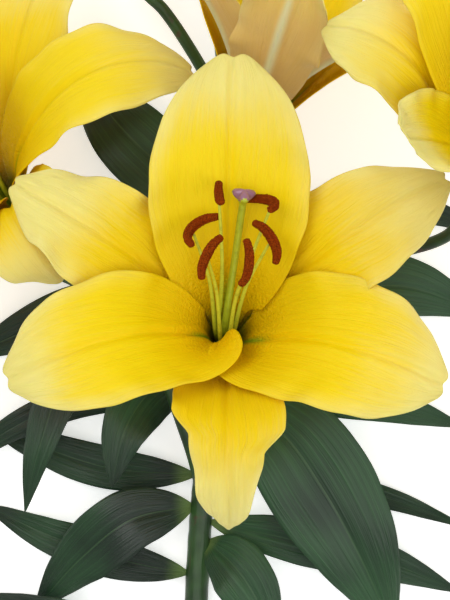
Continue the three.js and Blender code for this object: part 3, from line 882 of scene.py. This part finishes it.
        skins = [self.paint.get(Finish.STYLE), self.paint.get(Finish.STIGMA)]
        piece = rod(f"{self.name}_pistil_body", 36, sections, girth, self.ground, skins)
        tip = self.ground.metres(self.matrix @ reach)
        for face in piece.data.polygons:
            face.material_index = 1 if (face.center - tip).length < 5.4 * MM else 0
        settle(piece, "pistil", node)

    def make(self) -> None:
        """Makes the whole bloom."""
        self.make_tepals()
        joined = f"{self.name}_stamens_and_pistil"
        for number, stamen in enumerate(STAMENS):
            start = f"{self.name}_{stamen.name}"
            self.make_filament(stamen, number, f"{start}_filament" if self.chief else joined)
            self.make_anther(stamen, number, f"{start}_anther" if self.chief else joined)
        self.make_pistil(f"{self.name}_pistil" if self.chief else joined)
        log.info("bloom %s done", self.name)


OUTER_LAYER = -2.2


def outer(name: str, azimuth: float, **ways: object) -> Tepal:
    """One of a bloom's three narrower outer petals."""
    return Tepal(name, azimuth, OUTER_LAYER, True, **ways)


def all_blooms(ground: Ground, paint: Paintbox) -> list[Bloom]:
    """The plant's four blooms, as the layout places them.

    Args:
        ground: the layout's place in the frame.
        paint: the finishes.

    Returns:
        The main, left, right and back bloom.
    """
    main = Bloom("main", (0, -18, 48), (0, 0.28, 0.96), (
        Tepal("top_inner", 2, 3.4, edge=1.5, curl=-4, length=0.94, width=1.12),
        Tepal("right_inner", 110, 1.4, curl=40, length=0.88, width=0.94, root=119, lip=7.5),
        Tepal("left_inner", 251, 5.4, curl=44, length=0.85, width=0.9, root=241, lip=-10.0),
        outer("top_right_outer", 60, edge=-1, curl=14, length=0.97),
        outer("bottom_outer", 179, edge=-1, curl=84, length=0.97, width=0.82,
              flaps=(0.57, 0.64), apex=0.02),
        outer("top_left_outer", 300, edge=-1, curl=14, length=0.93, ruffle=1.8),
    ), ground, paint, chief=True)
    left = Bloom("left", (-98, 42, 14), (-0.3, 0.45, 0.84), (
        outer("top_outer", 18, curl=10),
        Tepal("top_right_inner", 64, 3.4, curl=62, width=0.8),
        outer("bottom_right_outer", 136, curl=110, length=0.85),
        Tepal("bottom_inner", 190, 1.4, curl=45),
        outer("bottom_left_outer", 244, curl=10),
        Tepal("top_left_inner", 304, 5.4, curl=5),
    ), ground, paint, stamen_spread=0.7, seed=2.0)
    right = Bloom("right", (103, 56, 80), (0.14, 0.35, 0.93), (
        Tepal("top_inner", -12, 3.4, curl=5),
        outer("top_right_outer", 58, curl=10),
        Tepal("bottom_right_inner", 118, 1.4, curl=10),
        outer("bottom_outer", 178, curl=30),
        Tepal("bottom_left_inner", 246, 5.4, curl=-10, length=0.6, width=0.8),
        outer("top_left_outer", 304, curl=66, length=0.8),
    ), ground, paint, stamen_spread=0.6, seed=3.0)
    back = Bloom("back", (9, 72, 26), (0.3, 0.86, 0.42), (
        outer("top_outer", 0, curl=-53, length=0.89, width=0.8),
        Tepal("top_right_inner", 60, 3.4, curl=-10),
        outer("bottom_right_outer", 120, curl=-36),
        Tepal("bottom_inner", 180, 1.4, curl=-60, length=0.9),
        outer("bottom_left_outer", 240, curl=-36),
        Tepal("top_left_inner", 300, 5.4, curl=-20, length=0.9),
    ), ground, paint, upper=(0, 0, 1), size=0.95, flare=74.0, stamen_spread=0.35, seed=4.0)
    return [main, left, right, back]


# ---------------------------------------------------------------- stem, buds and leaves

STEM_WAY = (
    (-14, -205, 0), (-13, -130, 0), (-8, -60, 0.6), (-4, 0, 1.5), (-1, 60, 4), (-2, 122, 6), (-14, 152, 7),
)


@dataclass(frozen=True)
class Stalk:
    """A flower stalk: where it leaves the stem and the way to what it carries."""

    carries: str
    foot: float
    way: Sequence[tuple[float, float, float]]


@dataclass(frozen=True)
class Bud:
    """A closed bud's base and axis."""

    name: str
    base: tuple[float, float, float]
    axis: tuple[float, float, float]


STALKS = (
    Stalk("main", -98, ((-4, -80, 15), (-1, -58, 22), (-1, -36, 31))),
    Stalk("left", -90, ((-18, -62, 19), (-38, -14, 26), (-64, 6, 21), (-90, 20, 12))),
    Stalk("right", -12, ((20, 6, 20), (62, 18, 34), (100, 30, 50))),
    Stalk("back", 34, ((3, 50, 17), (8, 61, 26))),
    Stalk("left_bud", 88, ((-14, 112, 20), (-28, 132, 27))),
)
BUDS = (
    Bud("left_bud", (-38, 146, 30), (-0.3, 0.95, 0.1)),
    Bud("top_bud", (-14, 152, 11), (-0.42, 0.9, 0.02)),
)


@dataclass
class Stem:
    """The stem with its flower stalks."""

    ground: Ground
    paint: Paintbox
    carried: dict[str, Bloom | Bud]
    curve: SmoothCurve = field(init=False)

    def __post_init__(self) -> None:
        """Lays the stem's middle line on the table."""
        last = len(STEM_WAY) - 1
        middle = [Vector((x, y, lift + self.radius(i / last))) for i, (x, y, lift) in enumerate(STEM_WAY)]
        self.curve = SmoothCurve(middle)

    @staticmethod
    def radius(t: float) -> float:
        """The stem's radius at a share of its length."""
        return lerp(STEM_DIAMETER, STEM_TOP_DIAMETER, t) / 2

    def passing(self, y: float) -> tuple[Vector, float]:
        """The stem's centre and radius where it passes a place along Y."""
        share = min((i / 400 for i in range(401)), key=lambda t: abs(self.curve.at(t).y - y))
        return self.curve.at(share), self.radius(share)

    def make(self, feet: Iterable[float]) -> None:
        """Makes the stem and its stalks.

        Args:
            feet: where leaves leave the stem, each of which thickens it into a node.
        """
        rings = 220
        sections = Sections(self.curve, rings)
        spots = [self.curve.at(i / rings).y for i in range(rings + 1)]
        feet = [*feet, *(stalk.foot for stalk in STALKS)]

        def girth(t: float, around: float) -> float:
            radius = self.radius(t)
            radius += 0.28 * max(bump_at(spots[round(t * rings)], foot, 3.2) for foot in feet)
            return radius + (0.10 * math.cos(9 * around) - 0.12 + 0.12 * wobble(3.0, t * 40, around))

        skins = [self.paint.get(Finish.STEM)]
        settle(rod("stem_rod", 40, sections, girth, self.ground, skins), "stem", "stem")
        for stalk in STALKS:
            self.make_stalk(stalk, skins)

    def make_stalk(self, stalk: Stalk, skins: Sequence[Material]) -> None:
        """Makes one flower stalk, from inside the stem to its seat."""
        carried = self.carried[stalk.carries]
        is_bloom = isinstance(carried, Bloom)
        seat = TUBE_RADIUS + CAD_TEPAL_THICKNESS + CLEARANCE if is_bloom else BUD_DIAMETER * 0.2
        end = Vector(carried.base)
        before = end - Vector(carried.axis).normalized() * STALK_DIAMETER * 1.2
        curve = SmoothCurve([self.passing(stalk.foot)[0], *(Vector(p) for p in stalk.way), before, end])

        def girth(t: float, around: float) -> float:
            radius = lerp(STALK_DIAMETER / 2, seat, smooth(t, 0.88, 1.0))
            return radius + (0.5 * bump_at(t, 0.0, 0.06) + 0.06 * math.cos(7 * around))

        name = f"{stalk.carries}_stalk_rod"
        settle(rod(name, 28, Sections(curve, 90), girth, self.ground, skins, flat_end=True), "stem", "stem")

    def make_bud(self, bud: Bud) -> None:
        """Makes a closed bud: a long egg with three furrows where its outer petals meet."""
        axis = Vector(bud.axis).normalized()
        start = Vector(bud.base) + axis * CLEARANCE
        curve = SmoothCurve([start, start + axis * BUD_LENGTH * 0.5, start + axis * BUD_LENGTH])

        def girth(t: float, around: float) -> float:
            radius = BUD_DIAMETER / 2 * max(math.sin(math.pi * (0.08 + 0.9 * t)) ** 0.7, 0.2)
            radius *= math.sqrt(max(1 - smooth(t, 0.9, 1.0) ** 2, 0.0))
            furrow = bump_at(math.cos(3 * around), -1.0, 0.18)
            rib = bump_at(math.cos(3 * around), 1.0, 0.12)
            return radius * (1 - 0.10 * furrow * smooth(t, 0.02, 0.2) + 0.02 * rib)

        skins = [self.paint.get(Finish.BUD)]
        settle(rod(f"{bud.name}_skin", 60, Sections(curve, 90), girth, self.ground, skins), "bud", bud.name)


@dataclass
class Leaf:
    """One leaf: where it leaves the stem, its width and the way of its midrib."""

    name: str
    foot: float
    side: int
    width: float
    way: Sequence[tuple[float, float, float]]
    hangs: bool = False
    fold: float = 0.18
    seed: float = 0.0

    def half_width(self, t: float) -> float:
        """Half the leaf's width at a share of its length."""
        shape = math.sin(math.pi * t ** 0.8) ** 0.9
        return self.width / 2 * max(shape, 0.12 * (1 - smooth(t, 0.9, 1.0)))

    def surface(self, curve: SmoothCurve) -> Surface:
        """The surface of the leaf's middle face."""

        def face(t: float, s: float) -> Vector:
            along = curve.heading(t)
            upward = Vector((0, 0, 1))
            upward = (upward - along * upward.dot(along)).normalized()
            across = along.cross(upward)
            half = self.half_width(t)
            half *= 1 + 0.03 * wobble(self.seed, t * 8, 2.0 * s)
            x = s * half
            lift = self.fold * math.sqrt(x * x + 1.2) - self.fold * 1.1
            grown = smooth(t, 0.02, 0.2) * smooth(1 - t, 0.0, 0.2)
            lift -= 0.5 * bump_at(x, 0.0, 0.9) * grown
            lift += 0.10 * math.cos(x * 2.4) * grown
            lift += 0.5 * wobble(self.seed + 5, x * 0.09, t * 5) * grown
            lift += 0.8 * s * s * math.sin(t * 16 + self.seed * 2 + (2 if s > 0 else 0)) * grown
            lift -= 0.12 * abs(x) * s * s * grown
            return curve.at(t) + across * x + (across.cross(along)) * lift

        return face

    def make(self, stem: Stem, ground: Ground, paint: Paintbox) -> None:
        """Makes the leaf and lets its tip down to the table."""
        centre, radius = stem.passing(self.foot)
        rise = math.radians(18)
        out = Vector((self.side * math.cos(rise), 0, math.sin(rise)))
        foot = centre + out * radius * 0.75
        route = [foot, *(Vector(p) for p in self.way)]
        curve = SmoothCurve(route)
        if not self.hangs:
            rest_height = LEAF_THICKNESS / 2
            probe = self.surface(curve)
            low = min(probe(t / 40, s / 4).z for t in range(28, 41) for s in range(-4, 5))
            route[-1].z += rest_height - low
            curve = SmoothCurve(route)
        rows, columns = (110, 44) if self.width > 40 else (84, 26)
        skins = [paint.get(Finish.LEAF), paint.get(Finish.LEAF_BACK)]
        piece = blade(f"{self.name}_blade", rows, columns, self.surface(curve), 0.5, ground, skins)
        settle(piece, "leaf", self.name)


LEAVES = (
    Leaf("lowest_left_leaf", -172, -1, 24, ((-52, -158, 12), (-86, -146, 9), (-114, -138, 2))),
    Leaf("lowest_right_leaf", -150, 1, 26, ((22, -166, 8), (52, -180, 7), (82, -198, 2))),
    Leaf("left_floor_leaf", -128, -1, 20, ((-46, -122, 7), (-82, -110, 6), (-116, -95, 2))),
    Leaf("low_middle_leaf", -112, 1, 28, ((6, -124, 22), (15, -138, 24), (22, -158, 20)), hangs=True),
    Leaf("low_right_leaf", -103, 1, 22, ((35, -112, 13), (75, -122, 10), (112, -138, 2))),
    Leaf("low_left_leaf", -96, -1, 30, ((-43, -101, 19), (-66, -119, 14), (-90, -146, 2))),
    Leaf("straight_left_leaf", -82, -1, 20, ((-56, -78, 7), (-92, -66, 6), (-118, -56, 2))),
    Leaf("narrow_right_leaf", -78, 1, 13, ((40, -84, 6), (80, -94, 5), (116, -108, 2))),
    Leaf("big_right_leaf", -46, 1, 50, ((25, -60, 23), (45, -87, 24), (62, -118, 20), (80, -158, 2))),
    Leaf("arched_left_leaf", -46, -1, 16, ((-32, -43, 6), (-72, -48, 13), (-106, -64, 12), (-128, -86, 2))),
    Leaf("broad_dark_leaf", -29, -1, 27, ((-34, -42, 13), (-46, -60, 23), (-52, -86, 22)), hangs=True),
    Leaf("right_arched_leaf", -26, 1, 21, ((34, -40, 14), (74, -48, 14), (114, -60, 2))),
    Leaf("hanging_left_leaf", -14, -1, 22,
         ((-40, -25, 17), (-72, -38, 24), (-84, -66, 29), (-92, -98, 20)), hangs=True),
    Leaf("right_broad_leaf", 6, 1, 34, ((44, 5, 14), (84, 6, 16), (124, -8, 2))),
    Leaf("left_broad_leaf", 6, -1, 30, ((-48, -3, 7), (-86, -12, 7), (-124, -28, 2))),
    Leaf("upper_right_leaf", 22, 1, 18, ((46, 38, 12), (88, 42, 12), (128, 30, 2))),
    Leaf("upper_left_leaf", 38, -1, 36, ((-28, 60, 14), (-50, 82, 15), (-72, 112, 2))),
)


# ---------------------------------------------------------------- the studio


@dataclass(frozen=True)
class Studio:
    """Pale floor that glows with painted light to wash out shadows, soft lights and the camera that looks
    straight down.
    """

    ground: Ground
    lens: float = 100.0
    height: float = 0.785
    floor_size: float = 6.0
    # How strongly the floor glows: painted light that washes out the plant's cast shadows.
    shadow_washing_glow: float = 0.5

    def make_floor(self) -> None:
        """Lays the floor that the plant rests on, glowing with painted light that washes out the plant's
        shadows.
        """
        bpy.ops.object.select_all(action="DESELECT")
        bpy.ops.mesh.primitive_plane_add(size=self.floor_size, location=(0, 0, -0.0002))
        floor = bpy.context.active_object
        floor.name = "floor"
        w = Wiring("floor_paint_with_glow")
        shade = w.mix(w.scaled(w.noise(None, 3.0), 0.3, 0.7), colour("f7f7f5"), colour("fbfbfa"))
        # The emission is painted light: the floor glows so that the plant's cast shadows wash out and the
        # floor stays pure white.
        w.shader.inputs["Emission Color"].default_value = colour("ffffff")
        w.shader.inputs["Emission Strength"].default_value = self.shadow_washing_glow
        floor.data.materials.append(w.finish(shade, 0.7, None))

    def add_light(self, name: str, place: Vector, size: float, power: float) -> None:
        """Adds a square soft light that faces the plant."""
        data = bpy.data.lights.new(name, "AREA")
        data.size = size
        data.energy = power
        lamp = bpy.data.objects.new(name, data)
        bpy.context.scene.collection.objects.link(lamp)
        lamp.location = place
        lamp.rotation_euler = (-place).to_track_quat("-Z", "Y").to_euler()

    def make_lights(self) -> None:
        """Sets the soft lights and the pale surroundings."""
        self.add_light("key", Vector((-0.9, 0.9, 1.7)), 1.4, 16.5)
        self.add_light("fill", Vector((1.3, -0.6, 1.4)), 1.4, 9.5)
        self.add_light("top", Vector((0.0, -0.2, 2.2)), 1.6, 10.5)
        world = bpy.data.worlds.new("studio")
        world.use_nodes = True
        world.node_tree.nodes["Background"].inputs[0].default_value = colour("ffffff")
        world.node_tree.nodes["Background"].inputs[1].default_value = 0.45
        bpy.context.scene.world = world

    def make_camera(self) -> None:
        """Hangs the camera over the layout's zero, looking down."""
        data = bpy.data.cameras.new("camera")
        data.lens = self.lens
        camera = bpy.data.objects.new("camera", data)
        bpy.context.scene.collection.objects.link(camera)
        over = self.ground.metres(Vector((0, 0, 0)))
        camera.location = (over.x, over.y, self.height)
        bpy.context.scene.camera = camera
        bpy.context.scene.view_settings.view_transform = "Standard"


def write_sizes() -> None:
    """Updates the view layer."""
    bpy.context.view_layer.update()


def main() -> None:
    """Builds the plant and its studio, in order."""
    logging.basicConfig(level=logging.INFO, format="%(message)s")
    ground = Ground.from_frame()
    log.info("layout shift %s", tuple(round(v, 4) for v in ground.shift))
    studio = Studio(ground)
    studio.make_camera()
    studio.make_floor()
    studio.make_lights()
    paint = Paintbox()
    blooms = all_blooms(ground, paint)
    for bloom in blooms:
        bloom.make()
    carried = {item.name: item for item in (*blooms, *BUDS)}
    stem = Stem(ground, paint, carried)
    stem.make(leaf.foot for leaf in LEAVES)
    for bud in BUDS:
        stem.make_bud(bud)
    for number, leaf in enumerate(LEAVES):
        leaf.seed = 1.7 * number + 0.4
        leaf.make(stem, ground, paint)
    write_sizes()


if __name__ == "__main__":
    main()
